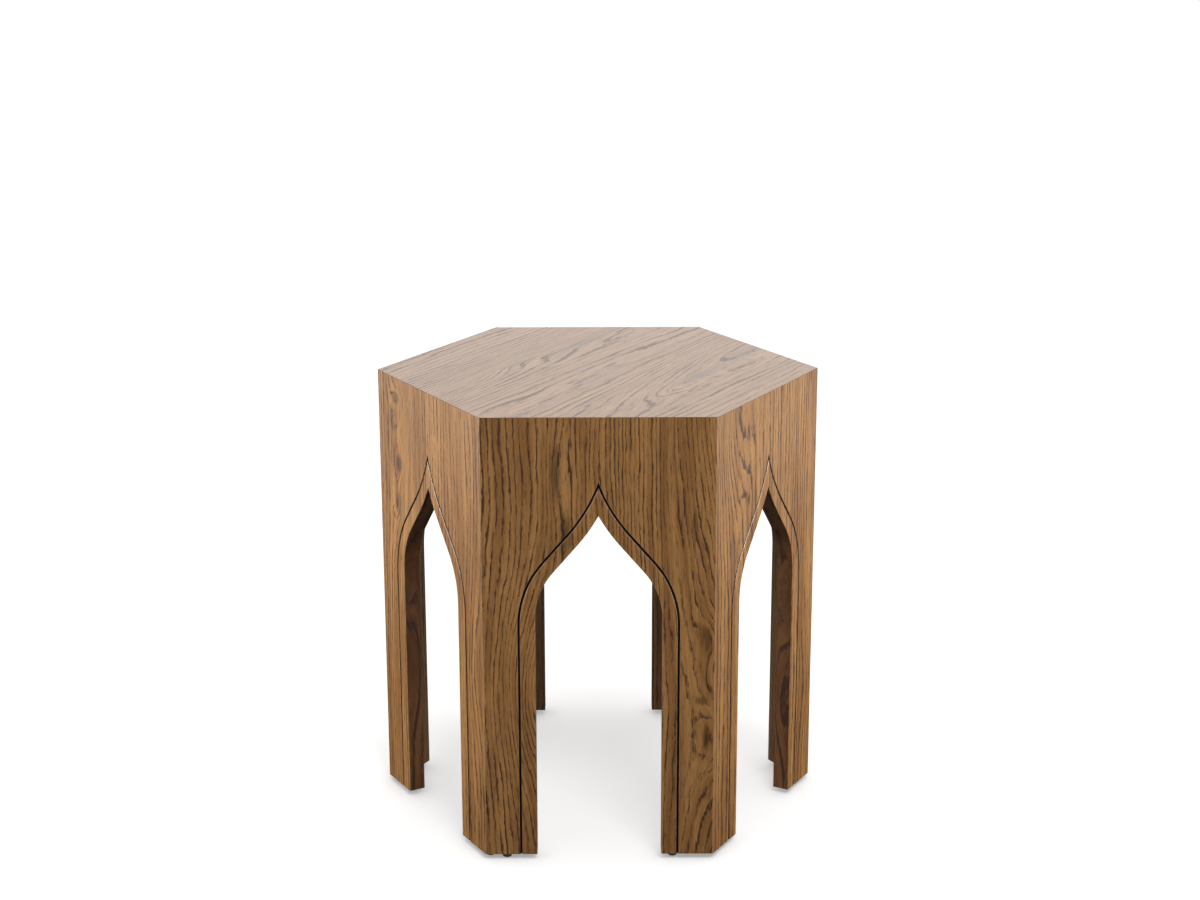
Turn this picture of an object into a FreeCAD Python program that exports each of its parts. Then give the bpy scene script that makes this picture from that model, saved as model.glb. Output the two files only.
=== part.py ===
import FreeCAD, Part
import math
import os
from types import SimpleNamespace

import Sketcher

# Tabouret: a hexagonal drum table with a pointed arch cut in each of its six sides.
# Units are millimetres and degrees. The table stands on Z = 0, centred on the Z axis.
# Panel 1 faces -Y, and the others follow it anticlockwise, seen from above. Corner 1 is
# between panels 1 and 2. Inside a panel's own body, X runs along the panel, to the right
# as seen from outside, -Y points outwards and Z = 0 is the foot of the boards.

DIMENSIONS = (
    # A hexagon's side is also the distance from its centre to a corner.
    ("side_length", 254.0),
    # From the foot of the boards to the top surface.
    ("body_height", 505.6),
    # Each board is a core with a face veneer outside and a backing veneer inside.
    ("core_thickness", 18.0),
    ("veneer_thickness", 0.6),
    # How far the sharp outer arrises are rubbed back, towards the middle of the wood.
    ("arris_ease", 0.4),
    # How wide a bevel is rubbed along the front edge of each opening.
    ("opening_edge_bevel", 0.4),
    # Opening: upright jambs, a round shoulder, a straight slope, and a crown that sweeps
    # up to the point. The corner is where the jamb and the slope would meet.
    ("opening_half_width", 69.3),
    ("opening_corner_height", 308.7),
    ("opening_point_rise", 87.0),
    ("opening_shoulder_radius", 81.3),
    ("opening_crown_radius", 202.4),
    ("opening_crown_turn", 11.7),
    # Groove: the same kind of line, given by how far it stands out from the opening.
    ("border_width", 17.9),
    ("border_corner_lift", 3.1),
    ("border_point_lift", 34.7),
    ("groove_shoulder_radius", 110.0),
    ("groove_crown_radius", 184.4),
    ("groove_crown_turn", 20.1),
    ("groove_width", 3.0),
    ("groove_depth", 2.5),
    # How wide a bevel is rubbed along both lips of the groove.
    ("groove_lip_bevel", 0.3),
    # The glue line between the two lining strips, at the point of the arch.
    ("lining_seam", 0.1),
    # Splines in the six upright mitres. The inset is from the outer corner.
    ("spline_thickness", 4.0),
    ("spline_width", 11.0),
    ("spline_inset", 14.0),
    ("spline_foot_gap", 20.0),
    ("spline_top_gap", 26.0),
    ("spline_clearance", 0.5),
    # Blocks in the inner corners and cleats under the top, above the arches.
    ("corner_block_leg", 32.0),
    ("corner_block_height", 80.0),
    ("cleat_length", 150.0),
    ("cleat_section", 20.0),
    ("cleat_chamfer", 6.0),
    # Screws of the cleats: two into each side, two up into the top.
    ("screw_length", 30.0),
    ("screw_shank_diameter", 3.5),
    ("screw_head_diameter", 7.0),
    ("screw_point_length", 3.0),
    ("screw_clearance", 0.3),
    ("side_screw_spacing", 110.0),
    ("top_screw_spacing", 50.0),
    # Nail-on glides: a tapered body, and a nail with its head in a recess.
    ("glide_height", 6.4),
    ("glide_rim_height", 1.6),
    ("glide_top_diameter", 14.0),
    ("glide_foot_diameter", 9.0),
    ("glide_foot_bevel", 0.8),
    ("glide_recess_depth", 2.2),
    ("nail_head_diameter", 5.0),
    ("nail_head_thickness", 0.8),
    ("nail_shank_diameter", 1.8),
    ("nail_length", 15.0),
    ("nail_point_length", 3.0),
    ("nail_clearance", 0.3),
    # Where a glide is nailed: along the panel from its corner, and in from its face.
    ("glide_from_corner", 23.6),
    ("glide_from_face", 9.6),
    ("front_right_glide_from_corner", 45.1),
    ("front_right_glide_from_face", 12.0),
    ("left_front_glide_from_corner", 10.0),
    ("left_front_glide_from_face", 11.6),
    # How far a cut runs past the wood that it cuts.
    ("overrun", 5.0),
)

SIDES = 6
SECTOR = 360 / SIDES
HALF_SECTOR = SECTOR / 2
FULL_TURN = 360
COUNTERSINK_ANGLE = 90
# A distance this small is drawn as none at all.
NEARLY_ZERO = 1e-9
CUBIC_CENTIMETRE = 1000

# How a sketch names its origin, its axes and the ends of an edge.
ORIGIN = -1
ACROSS_AXIS, UP_AXIS = -1, -2
START, END, CENTRE = 1, 2, 3
NORMAL = FreeCAD.Vector(0, 0, 1)

document = FreeCAD.newDocument("tabouret")
sheet = document.addObject("Spreadsheet::Sheet", "sizes")
for row, (alias, value) in enumerate(DIMENSIONS, start=1):
    sheet.set(f"A{row}", alias)
    sheet.set(f"B{row}", str(value))
    sheet.setAlias(f"B{row}", alias)
document.recompute()


class Size:
    """A size of the table: its value, and the formula that gives it from the sheet."""

    def __init__(self, value, formula=None):
        self.value = value
        self.formula = formula or repr(value)

    def __add__(self, other):
        other = as_size(other)
        return Size(self.value + other.value, f"({self.formula} + {other.formula})")

    def __sub__(self, other):
        other = as_size(other)
        return Size(self.value - other.value, f"({self.formula} - {other.formula})")

    def __mul__(self, other):
        other = as_size(other)
        return Size(self.value * other.value, f"({self.formula} * {other.formula})")

    def __truediv__(self, other):
        other = as_size(other)
        return Size(self.value / other.value, f"({self.formula} / {other.formula})")

    def __neg__(self):
        return Size(-self.value, f"(-{self.formula})")


def as_size(number):
    return number if isinstance(number, Size) else Size(number)


def sine(degrees):
    return Size(math.sin(math.radians(degrees)), f"sin({degrees})")


def cosine(degrees):
    return Size(math.cos(math.radians(degrees)), f"cos({degrees})")


def tangent(degrees):
    return Size(math.tan(math.radians(degrees)), f"tan({degrees})")


ZERO = Size(0.0)
dim = SimpleNamespace(**{alias: Size(value, f"sizes.{alias}") for alias, value in DIMENSIONS})

# Distances from the table's axis to the layers of a side, and heights of the top's layers.
# Depths are measured inwards from the outer face, or downwards from the top surface.
apothem = dim.side_length * cosine(HALF_SECTOR)
core_outside = dim.veneer_thickness
core_inside = dim.veneer_thickness + dim.core_thickness
panel_thickness = core_inside + dim.veneer_thickness
inner_apothem = apothem - panel_thickness
under_top = dim.body_height - panel_thickness

bodies = []


def new_body(name, turn=0):
    """A body turned about the table's axis and raised by the height of the glides."""
    body = document.addObject("PartDesign::Body", name)
    body.Label = name
    body.Placement = FreeCAD.Placement(FreeCAD.Vector(), FreeCAD.Rotation(NORMAL, turn))
    body.setExpression("Placement.Base.z", dim.glide_height.formula)
    bodies.append(body)
    return body


def origin_part(body, role):
    return [part for part in body.Origin.OriginFeatures if part.Role == role][0]


def new_sketch(body, name, role, offset=ZERO):
    """A sketch on one of the body's own origin planes, moved along the plane's normal."""
    sketch = body.newObject("Sketcher::SketchObject", f"{body.Name}_{name}")
    sketch.AttachmentSupport = [(origin_part(body, role), "")]
    sketch.MapMode = "FlatFace"
    sketch.setExpression("AttachmentOffset.Base.z", offset.formula)
    return sketch


def set_size(sketch, kind, references, size):
    """A dimension of the sketch, tied to the sheet."""
    index = sketch.addConstraint(Sketcher.Constraint(kind, *references, size.value))
    sketch.setExpression(f"Constraints[{index}]", size.formula)


def place_point(sketch, edge, end, across, up):
    """Place one end of an edge by its two distances from the sketch's origin."""
    for kind, axis, size in (("DistanceX", UP_AXIS, across), ("DistanceY", ACROSS_AXIS, up)):
        if math.isclose(size.value, 0, abs_tol=NEARLY_ZERO):
            sketch.addConstraint(Sketcher.Constraint("PointOnObject", edge, end, axis))
        else:
            set_size(sketch, kind, (ORIGIN, START, edge, end), size)


def add_polygon(sketch, corners):
    """A closed outline of straight edges through corners given as pairs of sizes."""
    points = [FreeCAD.Vector(across.value, up.value, 0) for across, up in corners]
    edges = []
    for start, end in zip(points, points[1:] + points[:1]):
        edges.append(sketch.addGeometry(Part.LineSegment(start, end), False))
    for edge, following in zip(edges, edges[1:] + edges[:1]):
        sketch.addConstraint(Sketcher.Constraint("Coincident", edge, END, following, START))
    for edge, (across, up) in zip(edges, corners):
        place_point(sketch, edge, START, across, up)


def add_circles(sketch, places, diameter):
    """Equal circles, centred at places given as pairs of sizes."""
    for across, up in places:
        centre = FreeCAD.Vector(across.value, up.value, 0)
        edge = sketch.addGeometry(Part.Circle(centre, NORMAL, diameter.value / 2), False)
        place_point(sketch, edge, CENTRE, across, up)
        set_size(sketch, "Diameter", (edge,), diameter)


def extrude(body, sketch, kind, length=None, along_normal=False):
    """A pad or pocket of the sketch, through everything where no length is given."""
    feature = body.newObject(f"PartDesign::{kind}", f"{sketch.Name}_{kind.lower()}")
    feature.Profile = sketch
    feature.Reversed = along_normal if kind == "Pocket" else not along_normal
    if length is None:
        feature.Type = "ThroughAll"
    else:
        feature.setExpression("Length", length.formula)
    return feature


def turn_profile(body, name, role, offset, axis_ends, profile):
    """A closed profile turned round an axis, both drawn on one origin plane."""
    sketch = new_sketch(body, name, role, offset)
    ends = [FreeCAD.Vector(across.value, up.value, 0) for across, up in axis_ends]
    axis = sketch.addGeometry(Part.LineSegment(*ends), True)
    for end, (across, up) in zip((START, END), axis_ends):
        place_point(sketch, axis, end, across, up)
    add_polygon(sketch, profile)
    feature = body.newObject("PartDesign::Revolution", f"{sketch.Name}_turned")
    feature.Profile = sketch
    feature.ReferenceAxis = (sketch, ["Axis0"])
    feature.Angle = FULL_TURN
    return feature


def repeat_round(body, feature, mirrored=False):
    """Repeat a feature at all six sides, and at both ends of each where it is mirrored."""
    around = body.newObject("PartDesign::PolarPattern", f"{feature.Name}_round")
    around.Axis = (origin_part(body, "Z_Axis"), [""])
    around.Angle = FULL_TURN
    around.Occurrences = SIDES
    if mirrored:
        other_end = body.newObject("PartDesign::Mirrored", f"{feature.Name}_mirrored")
        other_end.MirrorPlane = (origin_part(body, "YZ_Plane"), [""])
        pattern = body.newObject("PartDesign::MultiTransform", f"{feature.Name}_repeated")
        pattern.Originals = [feature]
        pattern.Transformations = [other_end, around]
    else:
        pattern = around
        pattern.Originals = [feature]
    body.Tip = pattern


class ArchLine:
    """An arch by its sizes, with the centres of its arcs and the slope between them."""

    def __init__(self, half_width, corner_height, point_height, shoulder_radius, crown_radius, crown_turn):
        self.half_width = half_width
        self.corner_height = corner_height
        self.point_height = point_height
        self.shoulder_radius = shoulder_radius
        self.crown_radius = crown_radius
        self.crown_turn = crown_turn
        width = half_width.value
        rise = point_height.value - corner_height.value
        turn = math.radians(crown_turn.value)
        sagitta = crown_radius.value * (1 - math.cos(turn))
        self.slope = math.atan2(width, rise) + math.asin(sagitta / math.hypot(width, rise))
        spring = corner_height.value - shoulder_radius.value * math.tan(self.slope / 2)
        self.shoulder_centre = FreeCAD.Vector(width - shoulder_radius.value, spring, 0)
        lean = self.slope - turn
        outwards = FreeCAD.Vector(math.cos(lean), math.sin(lean), 0)
        self.crown_centre = outwards * crown_radius.value + FreeCAD.Vector(0, point_height.value, 0)


def add_arch(sketch, arch, foot, outset=ZERO, guide=None, construction=False):
    """Draw an arch from its right foot to its left foot, and return its eight edges.

    With a guide, which is the edges of the same arch already drawn, this one runs
    parallel to it, outset from it all the way. Otherwise the arch's sizes set it out.
    """
    shoulder_radius = arch.shoulder_radius + outset
    crown_radius = arch.crown_radius - outset
    slope = arch.slope
    lean = math.acos(arch.crown_centre.x / crown_radius.value)
    square_to_slope = FreeCAD.Vector(math.cos(slope), math.sin(slope), 0)
    shoulder_end = arch.shoulder_centre + square_to_slope * shoulder_radius.value
    crown_start = arch.crown_centre - square_to_slope * crown_radius.value
    width = arch.half_width.value + outset.value
    spring = FreeCAD.Vector(width, arch.shoulder_centre.y, 0)
    toe = FreeCAD.Vector(width, foot.value, 0)

    def mirrored(point):
        return FreeCAD.Vector(-point.x, point.y, 0)

    def arc(centre, radius, first_angle, last_angle):
        return Part.ArcOfCircle(Part.Circle(centre, NORMAL, radius.value), first_angle, last_angle)

    shapes = [
        Part.LineSegment(toe, spring),
        arc(arch.shoulder_centre, shoulder_radius, 0, slope),
        Part.LineSegment(shoulder_end, crown_start),
        arc(arch.crown_centre, crown_radius, math.pi + lean, math.pi + slope),
        arc(mirrored(arch.crown_centre), crown_radius, -slope, -lean),
        Part.LineSegment(mirrored(crown_start), mirrored(shoulder_end)),
        arc(mirrored(arch.shoulder_centre), shoulder_radius, math.pi - slope, math.pi),
        Part.LineSegment(mirrored(spring), mirrored(toe)),
    ]
    first = sketch.GeometryCount
    sketch.addGeometry(shapes, construction)
    edges = range(first, first + len(shapes))
    jamb, shoulder, ramp, crown, left_crown, left_ramp, left_shoulder, left_jamb = edges
    sketch.addConstraint([
        Sketcher.Constraint("Vertical", jamb),
        Sketcher.Constraint("Tangent", jamb, END, shoulder, START),
        Sketcher.Constraint("Tangent", shoulder, END, ramp, START),
        Sketcher.Constraint("Tangent", ramp, END, crown, END),
        Sketcher.Constraint("PointOnObject", crown, START, UP_AXIS),
        Sketcher.Constraint("Coincident", crown, START, left_crown, END),
        Sketcher.Constraint("Coincident", left_crown, START, left_ramp, START),
        Sketcher.Constraint("Coincident", left_ramp, END, left_shoulder, START),
        Sketcher.Constraint("Coincident", left_shoulder, END, left_jamb, START),
        Sketcher.Constraint("Symmetric", ramp, END, left_ramp, START, UP_AXIS),
        Sketcher.Constraint("Symmetric", ramp, START, left_ramp, END, UP_AXIS),
        Sketcher.Constraint("Symmetric", jamb, END, left_jamb, START, UP_AXIS),
        Sketcher.Constraint("Symmetric", jamb, START, left_jamb, END, UP_AXIS),
        Sketcher.Constraint("Equal", shoulder, left_shoulder),
        Sketcher.Constraint("Equal", crown, left_crown),
    ])
    if foot is ZERO:
        sketch.addConstraint(Sketcher.Constraint("PointOnObject", jamb, START, ACROSS_AXIS))
    else:
        set_size(sketch, "DistanceY", (ORIGIN, START, jamb, START), foot)
    set_size(sketch, "Radius", (shoulder,), shoulder_radius)
    set_size(sketch, "Radius", (crown,), crown_radius)
    if guide is None:
        corner_place = FreeCAD.Vector(width, arch.corner_height.value, 0)
        corner = sketch.addGeometry(Part.Point(corner_place), True)
        sketch.addConstraint(Sketcher.Constraint("PointOnObject", corner, START, jamb))
        sketch.addConstraint(Sketcher.Constraint("PointOnObject", corner, START, ramp))
        set_size(sketch, "DistanceY", (ORIGIN, START, corner, START), arch.corner_height)
        set_size(sketch, "DistanceX", (ORIGIN, START, jamb, START), arch.half_width)
        set_size(sketch, "DistanceY", (ORIGIN, START, crown, START), arch.point_height)
        turn = sketch.addConstraint(Sketcher.Constraint("Angle", crown, slope - lean))
        sketch.setExpression(f"Constraints[{turn}]", arch.crown_turn.formula)
    else:
        for own, guiding in ((shoulder, guide[1]), (crown, guide[3])):
            sketch.addConstraint(Sketcher.Constraint("Coincident", guiding, CENTRE, own, CENTRE))
    return edges


def join_ends(sketch, edge, end, other_edge, other_end):
    """A straight edge between two ends already drawn."""
    line = Part.LineSegment(sketch.getPoint(edge, end), sketch.getPoint(other_edge, other_end))
    index = sketch.addGeometry(line, False)
    sketch.addConstraint(Sketcher.Constraint("Coincident", index, START, edge, end))
    sketch.addConstraint(Sketcher.Constraint("Coincident", index, END, other_edge, other_end))


opening = ArchLine(
    half_width=dim.opening_half_width,
    corner_height=dim.opening_corner_height,
    point_height=dim.opening_corner_height + dim.opening_point_rise,
    shoulder_radius=dim.opening_shoulder_radius,
    crown_radius=dim.opening_crown_radius,
    crown_turn=dim.opening_crown_turn,
)
groove = ArchLine(
    half_width=opening.half_width + dim.border_width,
    corner_height=opening.corner_height + dim.border_corner_lift,
    point_height=opening.point_height + dim.border_point_lift,
    shoulder_radius=dim.groove_shoulder_radius,
    crown_radius=dim.groove_crown_radius,
    crown_turn=dim.groove_crown_turn,
)


def add_plate(body, outside, inside, eased=False):
    """One layer of a side: a plate with mitred ends and a mitred top edge.

    The layer lies between two depths. An eased one loses its sharp outer arrises.
    """
    outer_y, inner_y = outside - apothem, inside - apothem
    outer_x, inner_x = -outer_y * tangent(HALF_SECTOR), -inner_y * tangent(HALF_SECTOR)
    plan = new_sketch(body, "plan", "XY_Plane")
    if eased:
        corner_radius = dim.side_length - dim.arris_ease
        eased_x = corner_radius * sine(HALF_SECTOR)
        eased_y = -corner_radius * cosine(HALF_SECTOR)
        face_x = outer_x - dim.arris_ease / sine(HALF_SECTOR)
        outer_corners = [(-eased_x, eased_y), (-face_x, outer_y), (face_x, outer_y), (eased_x, eased_y)]
    else:
        outer_corners = [(-outer_x, outer_y), (outer_x, outer_y)]
    add_polygon(plan, [(inner_x, inner_y), (-inner_x, inner_y)] + outer_corners)
    extrude(body, plan, "Pad", dim.body_height, along_normal=True)
    section = new_sketch(body, "top_mitre", "YZ_Plane")
    height, past = dim.body_height, dim.overrun
    if eased:
        land = dim.arris_ease / 2
        profile = [
            (outer_y - past, height - dim.arris_ease - past),
            (outer_y + land, height - land),
            (inner_y + past, height - inside - past),
            (inner_y + past, height + past),
            (outer_y - past, height + past),
        ]
    else:
        profile = [
            (outer_y - past, height - outside + past),
            (inner_y + past, height - inside - past),
            (inner_y + past, height + past * 2),
            (outer_y - past, height + past * 2),
        ]
    add_polygon(section, profile)
    extrude(body, section, "Pocket").SideType = "Symmetric"


def add_top_layer(body, outside, inside, eased=False):
    """One layer of the top: a hexagonal plate whose six edges are mitred at 45 degrees."""
    plan = new_sketch(body, "plan", "XY_Plane", dim.body_height - inside)
    radius = (apothem - outside) / cosine(HALF_SECTOR)
    angles = [SECTOR * step for step in range(SIDES)]
    add_polygon(plan, [(radius * cosine(angle), radius * sine(angle)) for angle in angles])
    extrude(body, plan, "Pad", inside - outside, along_normal=True)
    section = new_sketch(body, "mitre", "YZ_Plane")
    edge, height, past = -apothem, dim.body_height, dim.overrun
    below = (edge + inside + past, height - inside - past)
    if eased:
        land = dim.arris_ease / 2
        profile = [
            below,
            (edge + land, height - land),
            (edge + dim.arris_ease + past, height + past),
            (edge - past, height + past),
            (edge - past, height - inside - past),
        ]
    else:
        profile = [
            below,
            (edge + outside - past, height - outside + past),
            (edge + outside - past, height - inside - past),
        ]
    add_polygon(section, profile)
    cut = extrude(body, section, "Pocket")
    cut.SideType = "Symmetric"
    repeat_round(body, cut)


def cut_arch(body, arch, outset=ZERO):
    """Cut an arch through the body's layer, outset from the arch's own line."""
    sketch = new_sketch(body, "arch", "XZ_Plane")
    foot = -dim.overrun
    if outset is ZERO:
        edges = add_arch(sketch, arch, foot)
    else:
        guide = add_arch(sketch, arch, foot, construction=True)
        edges = add_arch(sketch, arch, foot, outset, guide)
    join_ends(sketch, edges[-1], END, edges[0], START)
    extrude(body, sketch, "Pocket", along_normal=True)


def cut_groove(body):
    """Run a V groove along its line, square to the face, from foot to foot."""
    path = new_sketch(body, "groove_path", "XZ_Plane")
    add_arch(path, groove, -dim.overrun)
    profile = new_sketch(body, "groove_profile", "XY_Plane", -dim.overrun)
    centre, bevel = groove.half_width, dim.groove_lip_bevel
    neck = dim.groove_width / 2 * (dim.groove_depth - bevel) / dim.groove_depth
    lip = dim.groove_width / 2 + bevel
    mouth = lip + (lip - neck) / bevel * dim.overrun
    tip = (centre, dim.groove_depth - apothem)
    right = [(centre + neck, bevel - apothem), (centre + mouth, -apothem - dim.overrun)]
    left = [(centre - mouth, -apothem - dim.overrun), (centre - neck, bevel - apothem)]
    add_polygon(profile, [tip] + right + left)
    pipe = body.newObject("PartDesign::SubtractivePipe", f"{body.Name}_groove")
    pipe.Profile = profile
    pipe.Spine = path
    pipe.Transition = "Right corner"


def bevel_opening(body):
    """Rub a bevel along the front edge of the opening, from foot to foot."""
    path = new_sketch(body, "opening_path", "XZ_Plane")
    add_arch(path, opening, -dim.overrun)
    profile = new_sketch(body, "bevel_profile", "XY_Plane", -dim.overrun)
    width, past = dim.opening_edge_bevel, dim.overrun
    outer = (opening.half_width + width + past, -apothem - past)
    inner = (opening.half_width - past, width - apothem + past)
    add_polygon(profile, [outer, inner, (opening.half_width - past, -apothem - past)])
    pipe = body.newObject("PartDesign::SubtractivePipe", f"{body.Name}_bevel")
    pipe.Profile = profile
    pipe.Spine = path
    pipe.Transition = "Right corner"


def cut_spline_slots(body):
    """Slots in both mitred ends, square to the mitre, each as deep as half a spline."""
    sketch = new_sketch(body, "spline_slots", "XY_Plane", dim.spline_foot_gap)
    radius = dim.side_length - dim.spline_inset
    centre_x, centre_y = radius * sine(HALF_SECTOR), -radius * cosine(HALF_SECTOR)
    half = dim.spline_thickness / 2
    depth = dim.spline_width / 2 + dim.spline_clearance
    corners = []
    for out, reach in ((half, -dim.overrun), (half, depth), (-half, depth), (-half, -dim.overrun)):
        across = centre_x + out * sine(HALF_SECTOR) - reach * cosine(HALF_SECTOR)
        up = centre_y - out * cosine(HALF_SECTOR) - reach * sine(HALF_SECTOR)
        corners.append((across, up))
    add_polygon(sketch, corners)
    add_polygon(sketch, [(-across, up) for across, up in corners])
    length = dim.body_height - dim.spline_top_gap - dim.spline_foot_gap
    extrude(body, sketch, "Pocket", length, along_normal=True)


# Places of the screws: across the panel, and either up it or in from its inner face.
side_screw_height = under_top - (dim.cleat_section - dim.cleat_chamfer) / 2
side_screw_x = dim.side_screw_spacing / 2
top_screw_x = dim.top_screw_spacing / 2
top_screw_y = (dim.cleat_section - dim.cleat_chamfer) / 2 - inner_apothem
screw_hole_diameter = dim.screw_shank_diameter + dim.screw_clearance * 2
screw_hole_depth = dim.screw_length - dim.cleat_section + dim.screw_clearance


def cut_side_screw_holes(body, start_depth, length):
    """Pilot holes for the cleat's screws, bored outwards from a depth in the panel."""
    sketch = new_sketch(body, "screw_holes", "XZ_Plane", apothem - start_depth)
    places = [(-side_screw_x, side_screw_height), (side_screw_x, side_screw_height)]
    add_circles(sketch, places, screw_hole_diameter)
    extrude(body, sketch, "Pocket", length, along_normal=True)


def cut_top_screw_holes(body, start_depth, length):
    """Pilot holes for the cleats' screws, bored up into a layer of the top."""
    sketch = new_sketch(body, "screw_holes", "XY_Plane", dim.body_height - start_depth)
    add_circles(sketch, [(-top_screw_x, top_screw_y), (top_screw_x, top_screw_y)], screw_hole_diameter)
    repeat_round(body, extrude(body, sketch, "Pocket", length, along_normal=True))


def glide_places(panel):
    """Where the two glides of a panel are nailed, in the panel's own plan."""
    left = (dim.glide_from_corner, dim.glide_from_face)
    right = (dim.glide_from_corner, dim.glide_from_face)
    if panel == 1:
        right = (dim.front_right_glide_from_corner, dim.front_right_glide_from_face)
    if panel == SIDES:
        right = (dim.left_front_glide_from_corner, dim.left_front_glide_from_face)
    half = dim.side_length / 2
    return [(left[0] - half, left[1] - apothem), (half - right[0], right[1] - apothem)]


nail_grip = dim.nail_length - (dim.glide_height - dim.glide_recess_depth)


def cut_nail_holes(body, panel):
    """Holes in the feet of a core, one above each glide."""
    sketch = new_sketch(body, "nail_holes", "XY_Plane")
    add_circles(sketch, glide_places(panel), dim.nail_shank_diameter + dim.nail_clearance * 2)
    extrude(body, sketch, "Pocket", nail_grip + dim.nail_clearance, along_normal=True)


def make_top():
    core = new_body("top_core")
    add_top_layer(core, core_outside, core_inside)
    cut_top_screw_holes(core, core_inside, screw_hole_depth - dim.veneer_thickness)
    face = new_body("top_face_veneer")
    add_top_layer(face, ZERO, core_outside, eased=True)
    backing = new_body("top_backing_veneer")
    add_top_layer(backing, core_inside, panel_thickness)
    cut_top_screw_holes(backing, panel_thickness, dim.veneer_thickness)


def make_side(panel):
    """The core of one side, its veneers, the border inside the groove and the lining."""
    turn = SECTOR * (panel - 1)
    core = new_body(f"side_core_{panel}", turn)
    add_plate(core, core_outside, core_inside)
    cut_arch(core, opening, dim.veneer_thickness)
    cut_spline_slots(core)
    cut_side_screw_holes(core, core_inside, screw_hole_depth - dim.veneer_thickness)
    cut_nail_holes(core, panel)
    cut_groove(core)

    face = new_body(f"side_face_veneer_{panel}", turn)
    add_plate(face, ZERO, core_outside, eased=True)
    cut_arch(face, groove)
    cut_groove(face)

    border = new_body(f"arch_border_{panel}", turn)
    sketch = new_sketch(border, "strip", "XZ_Plane", apothem - dim.veneer_thickness)
    inner_edges = add_arch(sketch, opening, ZERO)
    outer_edges = add_arch(sketch, groove, ZERO)
    join_ends(sketch, inner_edges[0], START, outer_edges[0], START)
    join_ends(sketch, inner_edges[-1], END, outer_edges[-1], END)
    extrude(border, sketch, "Pad", dim.veneer_thickness, along_normal=True)
    bevel_opening(border)
    cut_groove(border)

    backing = new_body(f"side_backing_veneer_{panel}", turn)
    add_plate(backing, core_inside, panel_thickness)
    cut_arch(backing, opening)
    cut_side_screw_holes(backing, panel_thickness, dim.veneer_thickness)

    lining = new_body(f"arch_lining_{panel}", turn)
    sketch = new_sketch(lining, "strips", "XZ_Plane", apothem - core_inside)
    inner_edges = add_arch(sketch, opening, ZERO)
    outer_edges = add_arch(sketch, opening, ZERO, dim.veneer_thickness, inner_edges)
    join_ends(sketch, inner_edges[0], START, outer_edges[0], START)
    join_ends(sketch, inner_edges[-1], END, outer_edges[-1], END)
    extrude(lining, sketch, "Pad", dim.core_thickness, along_normal=True)
    seam = new_sketch(lining, "seam", "XZ_Plane")
    half = dim.lining_seam / 2
    low, high = opening.point_height - dim.overrun, opening.point_height + dim.overrun
    add_polygon(seam, [(-half, low), (half, low), (half, high), (-half, high)])
    extrude(lining, seam, "Pocket", along_normal=True)


def make_spline(corner):
    """A spline across one upright mitre. Its own -Y points at the corner."""
    body = new_body(f"mitre_spline_{corner}", SECTOR * (corner - 1) + HALF_SECTOR)
    sketch = new_sketch(body, "plan", "XY_Plane", dim.spline_foot_gap + dim.spline_clearance)
    across = dim.spline_width / 2
    outer = dim.spline_inset - dim.spline_thickness / 2 - dim.side_length
    inner = outer + dim.spline_thickness
    add_polygon(sketch, [(-across, outer), (across, outer), (across, inner), (-across, inner)])
    slot = dim.body_height - dim.spline_top_gap - dim.spline_foot_gap
    extrude(body, sketch, "Pad", slot - dim.spline_clearance * 2, along_normal=True)


def make_corner_block(corner):
    """A three-sided block glued into one inner corner, under the top."""
    body = new_body(f"corner_block_{corner}", SECTOR * (corner - 1) + HALF_SECTOR)
    sketch = new_sketch(body, "plan", "XY_Plane", under_top - dim.corner_block_height)
    corner_y = -inner_apothem / cosine(HALF_SECTOR)
    across = dim.corner_block_leg * cosine(HALF_SECTOR)
    back = corner_y + dim.corner_block_leg * sine(HALF_SECTOR)
    add_polygon(sketch, [(ZERO, corner_y), (across, back), (-across, back)])
    extrude(body, sketch, "Pad", dim.corner_block_height, along_normal=True)


def bore_screw_holes(body, name, role, offset, places):
    """Countersunk holes, bored along the plane's normal."""
    sketch = new_sketch(body, name, role, offset)
    add_circles(sketch, places, screw_hole_diameter)
    document.recompute()
    hole = body.newObject("PartDesign::Hole", f"{sketch.Name}_bore")
    hole.Profile = sketch
    hole.Reversed = True
    hole.DepthType = "ThroughAll"
    hole.HoleCutType = "Countersink"
    hole.HoleCutCountersinkAngle = COUNTERSINK_ANGLE
    hole.setExpression("Diameter", screw_hole_diameter.formula)
    hole.setExpression("HoleCutDiameter", (dim.screw_head_diameter + dim.screw_clearance * 2).formula)


def make_cleat(panel):
    """A cleat under the top, against the inner face of one side."""
    body = new_body(f"top_cleat_{panel}", SECTOR * (panel - 1))
    sketch = new_sketch(body, "section", "YZ_Plane")
    back, front = -inner_apothem, dim.cleat_section - inner_apothem
    low = under_top - dim.cleat_section
    section = [
        (back, low),
        (front - dim.cleat_chamfer, low),
        (front, low + dim.cleat_chamfer),
        (front, under_top),
        (back, under_top),
    ]
    add_polygon(sketch, section)
    extrude(body, sketch, "Pad", dim.cleat_length, along_normal=True).SideType = "Symmetric"
    side_places = [(-side_screw_x, side_screw_height), (side_screw_x, side_screw_height)]
    bore_screw_holes(body, "side_holes", "XZ_Plane", -front, side_places)
    top_places = [(-top_screw_x, top_screw_y), (top_screw_x, top_screw_y)]
    bore_screw_holes(body, "top_holes", "XY_Plane", low, top_places)


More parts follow.
